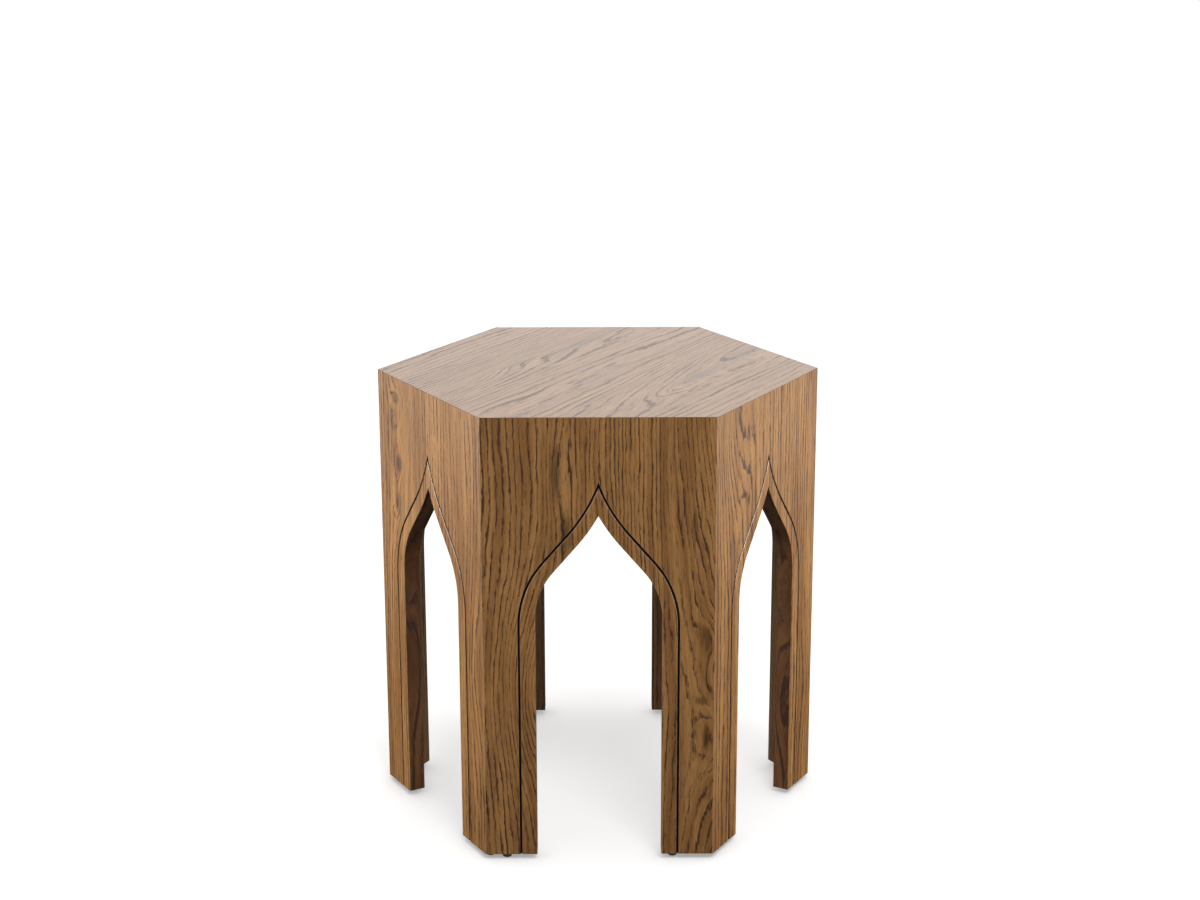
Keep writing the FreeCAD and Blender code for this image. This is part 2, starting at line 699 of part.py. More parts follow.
def screw_profile(axis, head, along):
    """Half a countersunk screw, as (from the axis, along the axis) moved to its place."""
    head_radius = dim.screw_head_diameter / 2
    shank_radius = dim.screw_shank_diameter / 2
    neck = head + along * (head_radius - shank_radius)
    point = head + along * dim.screw_length
    shoulder = head + along * (dim.screw_length - dim.screw_point_length)
    return [
        (axis, head),
        (axis + head_radius, head),
        (axis + shank_radius, neck),
        (axis + shank_radius, shoulder),
        (axis, point),
    ]


def make_screws():
    """The cleats' screws, twelve into the sides and twelve up into the top."""
    sides = new_body("cleat_side_screws")
    head = dim.cleat_section - inner_apothem
    profile = screw_profile(side_screw_x, head, Size(-1))
    screw = turn_profile(sides, "screw", "XY_Plane", side_screw_height, (profile[0], profile[-1]), profile)
    repeat_round(sides, screw, mirrored=True)

    top = new_body("cleat_top_screws")
    head = under_top - dim.cleat_section
    profile = screw_profile(top_screw_x, head, Size(1))
    screw = turn_profile(top, "screw", "XZ_Plane", -top_screw_y, (profile[0], profile[-1]), profile)
    repeat_round(top, screw, mirrored=True)


def table_places():
    """The places of all twelve glides, in the plan of the whole table."""
    places = []
    for panel in range(1, SIDES + 1):
        turn = SECTOR * (panel - 1)
        for across, up in glide_places(panel):
            x = across * cosine(turn) - up * sine(turn)
            y = across * sine(turn) + up * cosine(turn)
            places.append((x, y))
    return places


def make_glides():
    """The glides and their nails: one of each under both stiles of every side."""
    glides = new_body("glide_pads")
    nails = new_body("glide_nails")
    hole_radius = dim.nail_shank_diameter / 2 + dim.nail_clearance
    recess_radius = dim.nail_head_diameter / 2 + dim.nail_clearance
    top_radius, foot_radius = dim.glide_top_diameter / 2, dim.glide_foot_diameter / 2
    floor = -dim.glide_height
    recess = floor + dim.glide_recess_depth
    taper = (top_radius - foot_radius) / (dim.glide_height - dim.glide_rim_height)
    shank_radius, head_radius = dim.nail_shank_diameter / 2, dim.nail_head_diameter / 2
    for number, (x, y) in enumerate(table_places(), start=1):
        pad_profile = [
            (x + hole_radius, ZERO),
            (x + top_radius, ZERO),
            (x + top_radius, -dim.glide_rim_height),
            (x + foot_radius + dim.glide_foot_bevel * taper, floor + dim.glide_foot_bevel),
            (x + foot_radius - dim.glide_foot_bevel, floor),
            (x + recess_radius, floor),
            (x + recess_radius, recess),
            (x + hole_radius, recess),
        ]
        turn_profile(glides, f"pad_{number}", "XZ_Plane", -y, [(x, ZERO), (x, floor)], pad_profile)
        nail_profile = [
            (x, recess - dim.nail_head_thickness),
            (x + head_radius, recess - dim.nail_head_thickness),
            (x + head_radius, recess),
            (x + shank_radius, recess),
            (x + shank_radius, nail_grip - dim.nail_point_length),
            (x, nail_grip),
        ]
        nail_axis = (nail_profile[0], nail_profile[-1])
        turn_profile(nails, f"nail_{number}", "XZ_Plane", -y, nail_axis, nail_profile)


def check_document():
    """Stop if any object failed, any cut removed nothing or any piece isn't sound."""
    for thing in document.Objects:
        if "Invalid" in thing.State or "Error" in thing.State:
            raise RuntimeError(f"{thing.Name} did not build")
        if thing.TypeId.split("::")[-1] in ("Pocket", "Hole", "SubtractivePipe"):
            removed = thing.BaseFeature.Shape.Volume - thing.Shape.Volume
            if removed <= 0:
                raise RuntimeError(f"{thing.Name} cut nothing")
    for body in bodies:
        if body.Shape.isNull() or not body.Shape.isValid():
            raise RuntimeError(f"{body.Label} is not a sound solid")


make_top()
for side in range(1, SIDES + 1):
    make_side(side)
    make_cleat(side)
    make_spline(side)
    make_corner_block(side)
make_screws()
make_glides()
document.recompute()
check_document()

os.makedirs("parts", exist_ok=True)
for body in bodies:
    body.Shape.exportStep(f"parts/{body.Label}.step")
    volume = body.Shape.Volume / CUBIC_CENTIMETRE
    print(f"{body.Label}: {len(body.Shape.Solids)} solids, {volume:.1f} cm3")
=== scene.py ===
# %% [markdown]
# # A six-sided tabouret in oak veneer
# The table is a hexagonal drum. Its top and its six sides are fibreboard under oak veneer,
# mitred so that only veneer shows, and every side is cut out in a pointed arch with a dark
# groove round it. The frame already holds each of these pieces at its real size. What is
# left to do here is what a finisher and a photographer do: stain, pores, figure and lacquer
# on the wood, then a pale studio round it.

import math

import bpy
from mathutils import Matrix, Vector


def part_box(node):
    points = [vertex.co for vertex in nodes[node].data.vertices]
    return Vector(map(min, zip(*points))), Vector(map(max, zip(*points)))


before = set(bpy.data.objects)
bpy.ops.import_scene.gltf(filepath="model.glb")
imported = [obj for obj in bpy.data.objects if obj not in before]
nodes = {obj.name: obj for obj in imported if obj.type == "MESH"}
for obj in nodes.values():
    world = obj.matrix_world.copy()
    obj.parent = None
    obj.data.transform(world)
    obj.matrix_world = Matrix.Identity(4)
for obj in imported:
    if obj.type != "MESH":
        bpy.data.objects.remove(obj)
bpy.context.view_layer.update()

# %% [markdown]
# ## Where the leaves lie
# Six sides stand round the Z axis. Side 1 faces -Y and the others follow it anticlockwise,
# 60 degrees apart. A leaf of veneer has its own directions: across the grain, into the board
# and along the grain. If every finish is drawn in those directions, one recipe serves every
# leaf, however its board is turned.

# %% Directions of a leaf
SIDES = 6
SECTOR = 360 / SIDES


def side_turn(side):
    """How far a side is turned about the table's axis, in degrees."""
    return SECTOR * (side - 1)


def outward(side):
    """The direction that a side's face looks in."""
    turn = math.radians(side_turn(side))
    return Vector((math.sin(turn), -math.cos(turn), 0))


print("side 2 looks towards", tuple(round(part, 3) for part in outward(2)))

# %% [markdown]
# ## A short way to write a finish
# A finish in Blender is a tree of nodes. Building it by hand in the editor is easy to see but
# hard to repeat, and the table needs the same oak twenty times over with different figure. So
# a small class adds a node and links it in one line.

# %% The node helper
MIX_FACTOR, MIX_FIRST, MIX_SECOND, MIX_RESULT = 0, 6, 7, 2
EASE_SOCKETS = ("From Min", "From Max", "To Min", "To Max")


class Recipe:
    """A node tree, with short ways to add the nodes that a finish or a sky needs."""

    def __init__(self, owner):
        owner.use_nodes = True
        self.tree = owner.node_tree

    def node(self, kind, **settings):
        made = self.tree.nodes.new(kind)
        for setting, value in settings.items():
            setattr(made, setting, value)
        return made

    def feed(self, socket, value):
        """Link an output to a socket, or set the socket where the value is plain."""
        if isinstance(value, bpy.types.NodeSocket):
            self.tree.links.new(value, socket)
        else:
            socket.default_value = value

    def math(self, operation, *values, clamp=False):
        made = self.node("ShaderNodeMath", operation=operation, use_clamp=clamp)
        for socket, value in zip(made.inputs, values):
            self.feed(socket, value)
        return made.outputs["Value"]

    def mix(self, factor, first, second):
        made = self.node("ShaderNodeMix", data_type="RGBA")
        self.feed(made.inputs[MIX_FACTOR], factor)
        self.feed(made.inputs[MIX_FIRST], first)
        self.feed(made.inputs[MIX_SECOND], second)
        return made.outputs[MIX_RESULT]

    def curve(self, factor, stops):
        """A grey ramp through stops given as (place, height)."""
        made = self.node("ShaderNodeValToRGB")
        ramp = made.color_ramp
        while len(ramp.elements) < len(stops):
            ramp.elements.new(1.0)
        for element, (place, height) in zip(ramp.elements, stops):
            element.position = place
            element.color = (height, height, height, 1)
        self.feed(made.inputs["Fac"], factor)
        return made.outputs["Color"]

    def ease(self, value, *limits):
        """A smooth climb: from where, to where, from what height, to what height."""
        made = self.node("ShaderNodeMapRange", interpolation_type="SMOOTHSTEP")
        self.feed(made.inputs["Value"], value)
        for socket, limit in zip(EASE_SOCKETS, limits):
            made.inputs[socket].default_value = limit
        return made.outputs["Result"]

    def parts(self, vector):
        """The X, Y and Z of a vector, by name."""
        made = self.node("ShaderNodeSeparateXYZ")
        self.feed(made.inputs["Vector"], vector)
        return made.outputs


print("recipe helper ready")

# %% [markdown]
# A finish is a recipe for a material, so it also needs measures on the piece. Its Object
# coordinates are the table's own metres, because every piece here has its place in its mesh.
# A Mapping node turns them into periods of so many millimetres, which is how grain is best
# described. The same noise serves for all of it, drawn at different scales.

# %% The finish helper
MM = 0.001


class Finish(Recipe):
    """A new material: its shader, and the place of each point on the table."""

    def __init__(self, name):
        self.material = bpy.data.materials.new(name)
        super().__init__(self.material)
        self.shader = self.tree.nodes["Principled BSDF"]
        self.place = self.node("ShaderNodeTexCoord").outputs["Object"]

    def measured(self, vector, centre, period):
        """A place measured from a centre, in periods along each axis, all in millimetres."""
        made = self.node("ShaderNodeMapping")
        self.feed(made.inputs["Vector"], vector)
        made.inputs["Scale"].default_value = [1 / (length * MM) for length in period]
        made.inputs["Location"].default_value = [-c / length for c, length in zip(centre, period)]
        return made.outputs["Vector"]

    def noise(self, vector, period, drift=0.0, detail=2.0, roughness=0.5):
        """Noise from 0 to 1 whose blots are about one period long, in millimetres."""
        made = self.node("ShaderNodeTexNoise")
        shift = [drift * length for length in period]
        self.feed(made.inputs["Vector"], self.measured(vector, shift, period))
        made.inputs["Scale"].default_value = 1
        made.inputs["Detail"].default_value = detail
        made.inputs["Roughness"].default_value = roughness
        return made.outputs["Fac"]

    def streaks(self, count, every, drift):
        """Noise from 0 to 1 that changes once every so many counts, such as growth rings."""
        made = self.node("ShaderNodeTexNoise", noise_dimensions="1D")
        self.feed(made.inputs["W"], self.math("MULTIPLY_ADD", count, 1 / every, drift))
        made.inputs["Scale"].default_value = 1
        return made.outputs["Fac"]

    def luck(self, count, drift):
        """A chance value from 0 to 1 for each whole count."""
        made = self.node("ShaderNodeTexWhiteNoise", noise_dimensions="1D")
        self.feed(made.inputs["W"], self.math("ADD", self.math("FLOOR", count), drift))
        return made.outputs["Value"]

    def facing(self, direction):
        """1 where a surface looks in a direction, 0 where it is side-on to it."""
        surface = self.node("ShaderNodeNewGeometry").outputs["True Normal"]
        made = self.node("ShaderNodeVectorMath", operation="DOT_PRODUCT")
        self.feed(made.inputs[0], surface)
        made.inputs[1].default_value = direction
        return made.outputs["Value"]

    def value_by(self, colour, value):
        """A colour made lighter or darker by a value around 1."""
        made = self.node("ShaderNodeHueSaturation")
        self.feed(made.inputs["Color"], colour)
        self.feed(made.inputs["Value"], value)
        return made.outputs["Color"]

    def relief(self, height, distance, strength=1.0, invert=False):
        """Fine relief in the surface, from a height map and its depth in millimetres."""
        made = self.node("ShaderNodeBump", invert=invert)
        made.inputs["Strength"].default_value = strength
        made.inputs["Distance"].default_value = distance * MM
        self.feed(made.inputs["Height"], height)
        self.feed(self.shader.inputs["Normal"], made.outputs["Normal"])


print("finish helper ready")

# %% [markdown]
# ## How oak shows its figure
# Oak is ring-porous: each year starts with a band of wide vessels and ends in dense wood.
# Where a knife slices a leaf along the trunk, every band comes out as a line. The lines are
# straight where the leaf cuts the rings square, and arches or islands where it grazes them.
# A ready-made wave texture gives even stripes, which reads as pine. Here the ring number is a
# height field instead: it climbs across the leaf, slow noise makes it sway, and a few broad
# swells push the rings aside. A gentle swell bends the lines, one that is as steep as the
# climb leaves a plain patch, and a steeper one closes them up into islands.

# %% The figure of a leaf
class Leaf:
    """The figure of one leaf of veneer.

    A swell is (across, along, half its width, half its length, rings), in millimetres. A
    smudge is (across, along, half its width, half its length, strength). drift picks the
    part of every noise that the leaf shows, and stray says how much more than usual its
    grain wanders.
    """

    def __init__(self, drift, ring_width, swells=(), smudges=(), pore_length=12, stray=1.0):
        self.drift = drift
        self.ring_width = ring_width
        self.swells = swells
        self.smudges = smudges
        self.pore_length = pore_length
        self.stray = stray


def along_grain(finish, turns):
    """Coordinates across the leaf, into the board and along the grain, in metres."""
    place = finish.place
    for axis, degrees in turns:
        turned = finish.node("ShaderNodeVectorRotate", rotation_type=f"{axis}_AXIS")
        finish.feed(turned.inputs["Vector"], place)
        turned.inputs["Angle"].default_value = math.radians(degrees)
        place = turned.outputs["Vector"]
    return place


print("leaves carry", len(vars(Leaf(drift=0, ring_width=1))), "facts each")

# %% The ring field
# How far the grain strays to each side, and how wide, deep and long each stray is.
SWAYS = (
    (8.0, (70, 70, 330)),
    (3.4, (16, 16, 90)),
    (1.0, (2.5, 2.5, 10)),
)
INVERSE_E = math.exp(-1)
IN_MM = (1, 1, 1)
# What leaves the direction into the board out of a distance: its period, then its share.
ANY_DEPTH = 1 / MM
ON_THE_FACE = (1, 0, 1)


def swelling(finish, wood, across, along, half_width, half_length):
    """A smooth hill, 1 at its top, that fades over its half width and half length."""
    flat = finish.node("ShaderNodeVectorMath", operation="MULTIPLY")
    span = (half_width, ANY_DEPTH, half_length)
    finish.feed(flat.inputs[0], finish.measured(wood, (across, 0, along), span))
    flat.inputs[1].default_value = ON_THE_FACE
    reach = finish.node("ShaderNodeVectorMath", operation="LENGTH")
    finish.feed(reach.inputs[0], flat.outputs["Vector"])
    return finish.math("POWER", INVERSE_E, finish.math("POWER", reach.outputs["Value"], 2))


def ring_number(finish, wood, leaf):
    """Which growth ring a point of the leaf lies in, counted from the middle."""
    across = finish.parts(finish.measured(wood, (0, 0, 0), IN_MM))["X"]
    for order, (reach, period) in enumerate(SWAYS):
        sway = finish.noise(wood, period, leaf.drift + order)
        across = finish.math("MULTIPLY_ADD", sway, 2 * reach * leaf.stray, across)
    rings = finish.math("DIVIDE", across, leaf.ring_width)
    for *place, height in leaf.swells:
        rings = finish.math("MULTIPLY_ADD", swelling(finish, wood, *place), height, rings)
    return rings


print("sways:", [reach for reach, _ in SWAYS], "mm")

# %% [markdown]
# Vessels run up the trunk, and so do the fibres between them. Where the rings bend on a leaf,
# the vessels seem to bend along, though not quite as far. So the pores get coordinates of
# their own, part straight and part ring number.

# %% The way of the vessels
# The share of a ring's bend that the vessels follow.
BEND = 0.6


def bent_with_rings(finish, wood, leaf, rings):
    """The leaf's coordinates, bent so that vessels drawn on them lean towards the rings."""
    parts = finish.parts(wood)
    straight = finish.math("MULTIPLY", parts["X"], 1 - BEND)
    followed = BEND * leaf.ring_width * MM
    bent = finish.node("ShaderNodeCombineXYZ")
    finish.feed(bent.inputs["X"], finish.math("MULTIPLY_ADD", rings, followed, straight))
    finish.feed(bent.inputs["Y"], parts["Y"])
    finish.feed(bent.inputs["Z"], parts["Z"])
    return bent.outputs["Vector"]


print("vessels follow", BEND, "of each bend")

# %% [markdown]
# ## Years and pores
# A year's band begins sharply and fades into the dense wood. No two years had the same luck,
# so some bands are dark and others are hardly there, and each of them comes and goes along
# the trunk. The stain settles in the vessels, so the pores are the darkest thing on the leaf:
# broken dashes under a millimetre wide and a centimetre or two long, crowded together where a
# year begins. Longer and fainter threads run everywhere between them.

# %% Years and pores
# Each noise of the recipe is drawn from a part of the field of its own.
SHIFT = {"threads": 3, "tone": 5, "rags": 7, "fibre": 9, "patches": 11, "sheened_rubbing": 13}
# The darkness of a year's wood and the crowding of its vessels, by the share of the ring.
BAND = ((0.0, 0.05), (0.04, 1.0), (0.15, 0.85), (0.32, 0.3), (0.6, 0.0), (1.0, 0.05))
VESSELS = ((0.0, 0.0), (0.04, 1.0), (0.2, 0.85), (0.38, 0.2), (0.6, 0.0))
# How long the strong and faint stretches of a band are, and how strong each year is.
PATCH = (8, 8, 90)
PATCH_STOPS = ((0.36, 0.45), (0.6, 1.0))
LUCK_STOPS = ((0.0, 0.5), (0.6, 1.0))
DASH_WIDTH, DASH_STOPS = 0.75, ((0.65, 0.0), (0.8, 1.0))
CROWDING = 0.45
THREAD_WIDTH, THREAD_STOPS = 1.3, ((0.52, 0.0), (0.67, 0.6))
THREAD_STRETCH = 1.6


def years(finish, wood, leaf, rings):
    """How dark the year's band is at a point, and how crowded with vessels."""
    part = finish.math("FRACT", rings)
    patches = finish.noise(wood, PATCH, leaf.drift + SHIFT["patches"])
    luck = finish.curve(finish.luck(rings, leaf.drift), LUCK_STOPS)
    vigour = finish.math("MULTIPLY", finish.curve(patches, PATCH_STOPS), luck)
    band = finish.math("MULTIPLY", finish.curve(part, BAND), vigour)
    vessels = finish.math("MULTIPLY", finish.curve(part, VESSELS), vigour)
    return band, vessels


def pore_map(finish, grain, leaf, vessels):
    """1 in a pore, less in a thread and 0 between them."""
    dash = (DASH_WIDTH, DASH_WIDTH, leaf.pore_length)
    dashes = finish.noise(grain, dash, leaf.drift, detail=4, roughness=0.6)
    pores = finish.curve(finish.math("MULTIPLY_ADD", vessels, CROWDING, dashes), DASH_STOPS)
    thread = (THREAD_WIDTH, THREAD_WIDTH, THREAD_STRETCH * leaf.pore_length)
    shift = leaf.drift + SHIFT["threads"]
    threads = finish.noise(grain, thread, shift, detail=4, roughness=0.7)
    return finish.math("MAXIMUM", pores, finish.curve(threads, THREAD_STOPS))


print("bands fade over", BAND[4][0], "of a ring")

# %% [markdown]
# ## Stain
# Between the pores the wood drifts from pale to deep, partly in slow clouds and partly year
# by year. A smudge is a place where the leaf grazed a ring and took up more stain. Its edge
# is ragged, because it follows the fibres. The fibres also give the whole leaf a fine streak
# of light and dark.

# %% Stain on the wood
CLOUD = (24, 24, 210)
STREAK_RINGS, STREAK_SHARE = 1.7, 0.4
TONE_STOPS = ((0.42, 0.0), (0.58, 1.0))
BAND_DEPTH, PORE_DEPTH = 0.48, 0.88
RAG = (1.6, 1.6, 18)
BLOT_STOPS = ((0.16, 0.0), (0.42, 1.0))
FIBRE = (1.8, 1.8, 90)
FIBRE_GAIN, FIBRE_FLOOR = 1.0, 0.52


class Stain:
    """Linear colours of oak, from its palest wood to its pores, and the paler colour of its
    arrises, part wear and part painted highlight.
    """

    def __init__(self, pale, deep, shade, pore, arris):
        self.pale = (*pale, 1)
        self.deep = (*deep, 1)
        self.shade = (*shade, 1)
        self.pore = (*pore, 1)
        self.arris = (*arris, 1)


def wood_tone(finish, wood, rings, leaf, stain):
    """The drift from pale to deep wood."""
    clouds = finish.noise(wood, CLOUD, leaf.drift + SHIFT["tone"], detail=3)
    streaked = finish.streaks(rings, STREAK_RINGS, leaf.drift)
    slow = finish.math("MULTIPLY", clouds, 1 - STREAK_SHARE)
    tone = finish.curve(finish.math("MULTIPLY_ADD", streaked, STREAK_SHARE, slow), TONE_STOPS)
    return finish.mix(tone, stain.pale, stain.deep)


def smudged(finish, wood, leaf, stain, colour):
    """The colour with the leaf's smudges on it."""
    for *place, strength in leaf.smudges:
        rags = finish.noise(wood, RAG, leaf.drift + SHIFT["rags"], detail=4, roughness=0.65)
        blot = finish.math("MULTIPLY", swelling(finish, wood, *place), rags)
        blot = finish.math("MULTIPLY", finish.curve(blot, BLOT_STOPS), strength)
        colour = finish.mix(blot, colour, stain.pore)
    return colour


print("a streak of tone lasts", STREAK_RINGS, "rings")

# %% [markdown]
# ## Wear, painted highlights, and the whole of the oak
# The arrises are painted paler, partly as rubbed wear and partly as a painted highlight, and the
# flanks of the groove have taken more stain.
# The masks for both come from the way a surface looks, because each bevel of the table leans by
# its own angle. Right under the top the arris of a side is painted dark, in the colour of the
# pores. All of it goes under one satin lacquer, whose gloss is a clear coat over a rougher base.
# The groove's flanks were too narrow to rub down, so they shine most.

# %% The oak recipe
UP = Vector((0, 0, 1))
# How a bevel leans from its face, as the cosine of that angle, and how far it may differ.
FLANK_LEAN, FLANK_SPAN = 0.515, 0.08
ARRIS_LEAN, ARRIS_SPAN = 0.79, 0.13
TOP_ARRIS_LEAN, TOP_ARRIS_SPAN = 0.707, 0.1
GROOVE_STAIN = (0.018, 0.013, 0.010, 1)
# Where an arris is rubbed and painted paler more, and where less.
RUB_AND_SHEEN, RUB_AND_SHEEN_STOPS = (4, 4, 30), ((0.35, 0.2), (0.65, 0.8))
SATIN, PORE_ROUGHER, FLANK_SMOOTHER = 0.42, 0.2, -0.2
COAT, FLANK_COAT, COAT_ROUGHNESS = 0.5, 0.5, 0.22
# How deep a pore sinks, in millimetres, and the share of it that the lacquer leaves to see.
PORE_SINK, PORE_RELIEF = 0.08, 0.35


def worn_and_sheened(finish, wood, leaf, stain, colour, arris, flank):
    """The colour with its arrises painted paler, as wear and as a painted highlight, and its
    stained groove.
    """
    rubbed_and_sheened = finish.curve(finish.noise(wood, RUB_AND_SHEEN, leaf.drift + SHIFT["sheened_rubbing"]), RUB_AND_SHEEN_STOPS)
    colour = finish.mix(finish.math("MULTIPLY", arris, rubbed_and_sheened), colour, stain.arris)
    return finish.mix(flank, colour, GROOVE_STAIN)


def oak(name, turns, leaf, stain, direction):
    """Satin oak veneer. direction is the way that the leaf's face looks."""
    finish = Finish(name)
    wood = along_grain(finish, turns)
    rings = ring_number(finish, wood, leaf)
    grain = bent_with_rings(finish, wood, leaf, rings)
    band, vessels = years(finish, wood, leaf, rings)
    pores = pore_map(finish, grain, leaf, vessels)

    colour = wood_tone(finish, wood, rings, leaf, stain)
    colour = finish.mix(finish.math("MULTIPLY", band, BAND_DEPTH), colour, stain.shade)
    colour = smudged(finish, wood, leaf, stain, colour)
    colour = finish.mix(finish.math("MULTIPLY", pores, PORE_DEPTH), colour, stain.pore)
    fibre = finish.noise(grain, FIBRE, leaf.drift + SHIFT["fibre"], detail=4, roughness=0.75)
    fibre = finish.math("MULTIPLY_ADD", fibre, FIBRE_GAIN, FIBRE_FLOOR)
    colour = finish.value_by(colour, fibre)

    lean = finish.facing(direction)
    # Arrises are painted paler: part wear, part painted highlight.
    arris = finish.math("COMPARE", lean, ARRIS_LEAN, ARRIS_SPAN)
    flank = finish.math("COMPARE", lean, FLANK_LEAN, FLANK_SPAN)
    colour = worn_and_sheened(finish, wood, leaf, stain, colour, arris, flank)
    # Right under the top the side's arris is painted dark, in the colour of the pores.
    if direction.z == 0:
        under_top = finish.math("COMPARE", finish.facing(UP), TOP_ARRIS_LEAN, TOP_ARRIS_SPAN)
        colour = finish.mix(under_top, colour, stain.pore)
    finish.feed(finish.shader.inputs["Base Color"], colour)

    roughness = finish.math("MULTIPLY_ADD", pores, PORE_ROUGHER, SATIN)
    roughness = finish.math("MULTIPLY_ADD", flank, FLANK_SMOOTHER, roughness)
    finish.feed(finish.shader.inputs["Roughness"], roughness)
    coat = finish.math("MULTIPLY_ADD", flank, FLANK_COAT, COAT)
    finish.feed(finish.shader.inputs["Coat Weight"], coat)
    finish.shader.inputs["Coat Roughness"].default_value = COAT_ROUGHNESS
    finish.relief(pores, PORE_SINK, PORE_RELIEF, invert=True)
    return finish.material


print("oak recipe ready")

# %% [markdown]
# The sides were stained honey brown. The top is the same oak painted lighter as painted light,
# pores and all, so its pores stand out less.
# The strips in the openings and the leaves inside took a darker stain.

# %% Four stains, the top's with painted light
# Each arris colour is paler than the wood: part wear, part painted highlight.
HONEY = Stain(
    pale=(0.470, 0.230, 0.073),
    deep=(0.315, 0.140, 0.041),
    shade=(0.130, 0.056, 0.017),
    pore=(0.046, 0.019, 0.006),
    arris=(0.46, 0.26, 0.13),
)
# Painted light: the top's colours are lighter than the sides' because the top catches more light.
TOP_PAINTED_LIGHTER = Stain(
    pale=(0.475, 0.238, 0.085),
    deep=(0.400, 0.198, 0.070),
    shade=(0.200, 0.094, 0.033),
    pore=(0.140, 0.064, 0.022),
    arris=(0.46, 0.26, 0.13),
)
EDGE_BROWN = Stain(
    pale=(0.285, 0.125, 0.044),
    deep=(0.158, 0.065, 0.022),
    shade=(0.120, 0.050, 0.019),
    pore=(0.060, 0.026, 0.011),
    arris=(0.40, 0.21, 0.11),
)
INNER_BROWN = Stain(
    pale=(0.230, 0.118, 0.048),
    deep=(0.155, 0.079, 0.032),
    shade=(0.090, 0.045, 0.019),
    pore=(0.028, 0.014, 0.007),
    arris=(0.28, 0.16, 0.09),
)
print("stains mixed")

# %% [markdown]
# ## Seven leaves for the faces
# Each face is one leaf. The photographed ones have a figure of their own. The front's lines
# bulge to the left down its left leg, and close into islands down its right leg. The left
# side has small knots of figure near its left corner. On the right side a pale tongue comes
# down from the top and ends in ragged points above the groove. The three back leaves come
# from the same trunk. A border is what the groove cut free from its leaf, so the two share
# one material. A swell 2000 mm long tilts the climb of the rings all the way up a leaf: they
# lie closer together on one flank of it and wider apart on the other.

# %% The front leaf
LEAVES = {
    1: Leaf(
        drift=3.7,
        ring_width=4.1,
        swells=(
            (-170, 250, 110, 2000, 16),
            (-60, 205, 40, 105, 8.5),
            (-45, 440, 11, 75, 1.6),
            (150, 150, 62, 240, -12),
            (127, 143, 16, 42, -3.4),
            (121, 262, 12, 26, -2),
        ),
        smudges=(
            (-46, 450, 7, 42, 0.6),
            (-34, 382, 9, 26, 0.45),
            (104, 390, 4, 26, 0.5),
            (117, 260, 8, 20, 0.6),
            (118, 147, 4, 18, 0.7),
            (113, 190, 8, 6, 0.6),
        ),
    ),
}
print("front leaf drawn")

# %% The leaves left and right of it
LEAVES[2] = Leaf(
    drift=11.3,
    ring_width=6.4,
    swells=((-150, 250, 110, 2000, 7), (-80, 510, 36, 95, 5.2), (120, 130, 24, 60, -1.5)),
    smudges=((-61, 408, 10, 4, 0.85), (-50, 400, 4, 8, 0.8), (-76, 345, 4, 24, 0.5)),
)
LEAVES[6] = Leaf(
    drift=53.3,
    ring_width=5.6,
    swells=(
        (170, 250, 110, 2000, -9),
        (-70, 420, 34, 150, -5),
        (-80, 474, 10, 24, -2.6),
        (-75, 410, 10, 28, -2.4),
        (-80, 360, 9, 20, -1.6),
        (110, 215, 26, 90, 2.4),
    ),
    smudges=(
        (-82, 488, 13, 8, 0.6),
        (-93, 462, 5, 18, 0.5),
        (-76, 411, 11, 13, 0.75),
        (-78, 364, 8, 18, 0.45),
    ),
)
print("right and left leaves drawn")

# %% The back leaves
LEAVES[3] = Leaf(
    drift=23.9,
    ring_width=5.2,
    swells=((150, 250, 110, 2000, -9), (30, 430, 22, 90, 5.0)),
)
LEAVES[4] = Leaf(
    drift=31.1,
    ring_width=6.4,
    swells=((-10, 470, 26, 120, 6.0), (95, 160, 20, 60, 3.0)),
)
LEAVES[5] = Leaf(
    drift=41.7,
    ring_width=5.0,
    swells=((-140, 250, 110, 2000, 9), (-100, 230, 24, 80, 4.0)),
)
print("back leaves drawn")

# %% Veneer on the sides
EVERY_SIDE = range(1, SIDES + 1)


def dress(pieces, material):
    """Put a material on CAD pieces in place of the plain one that they came with."""
    for piece in pieces:
        nodes[piece].data.materials.clear()
        nodes[piece].data.materials.append(material)


for side in EVERY_SIDE:
    turns = (("Z", -side_turn(side)),)
    veneer = oak(f"oak_side_{side}", turns, LEAVES[side], HONEY, outward(side))
    dress([f"side_face_veneer_{side}", f"arch_border_{side}"], veneer)
print("side leaves:", len(LEAVES))

# %% [markdown]
# The top leaf runs parallel to the back-left edge, 60 degrees from X. Turning it by 30
# degrees about Z brings its grain to Y, and a quarter turn about X stands it upright, which
# is how the recipe wants it. It is plain at its left end and in the middle, with a cathedral
# to the left of the middle and another to the right.

# %% Veneer on the top
GRAIN_TO_Y, QUARTER = 30, 90
top_turns = (("Z", GRAIN_TO_Y), ("X", QUARTER))
top_leaf = Leaf(
    drift=67.9,
    ring_width=10,
    pore_length=24,
    stray=1.6,
    swells=(
        (-20, 0, 60, 2000, 5.0),
        (-84, 190, 30, 250, 6.5),
        (-96, -10, 16, 70, 3.0),
        (94, 190, 38, 250, 7.5),
        (118, -30, 16, 80, 2.6),
        (-190, 0, 70, 2000, -5.0),
    ),
    smudges=(
        (-80, 110, 10, 60, 0.45),
        (-92, -20, 8, 40, 0.45),
        (112, 150, 14, 60, 0.45),
        (118, 20, 10, 60, 0.6),
        (86, 40, 6, 40, 0.4),
    ),
)
# The top's oak carries painted light in its lighter colours.
dress(["top_face_veneer"], oak("oak_top", top_turns, top_leaf, TOP_PAINTED_LIGHTER, UP))
print("top leaf on", nodes["top_face_veneer"].name)

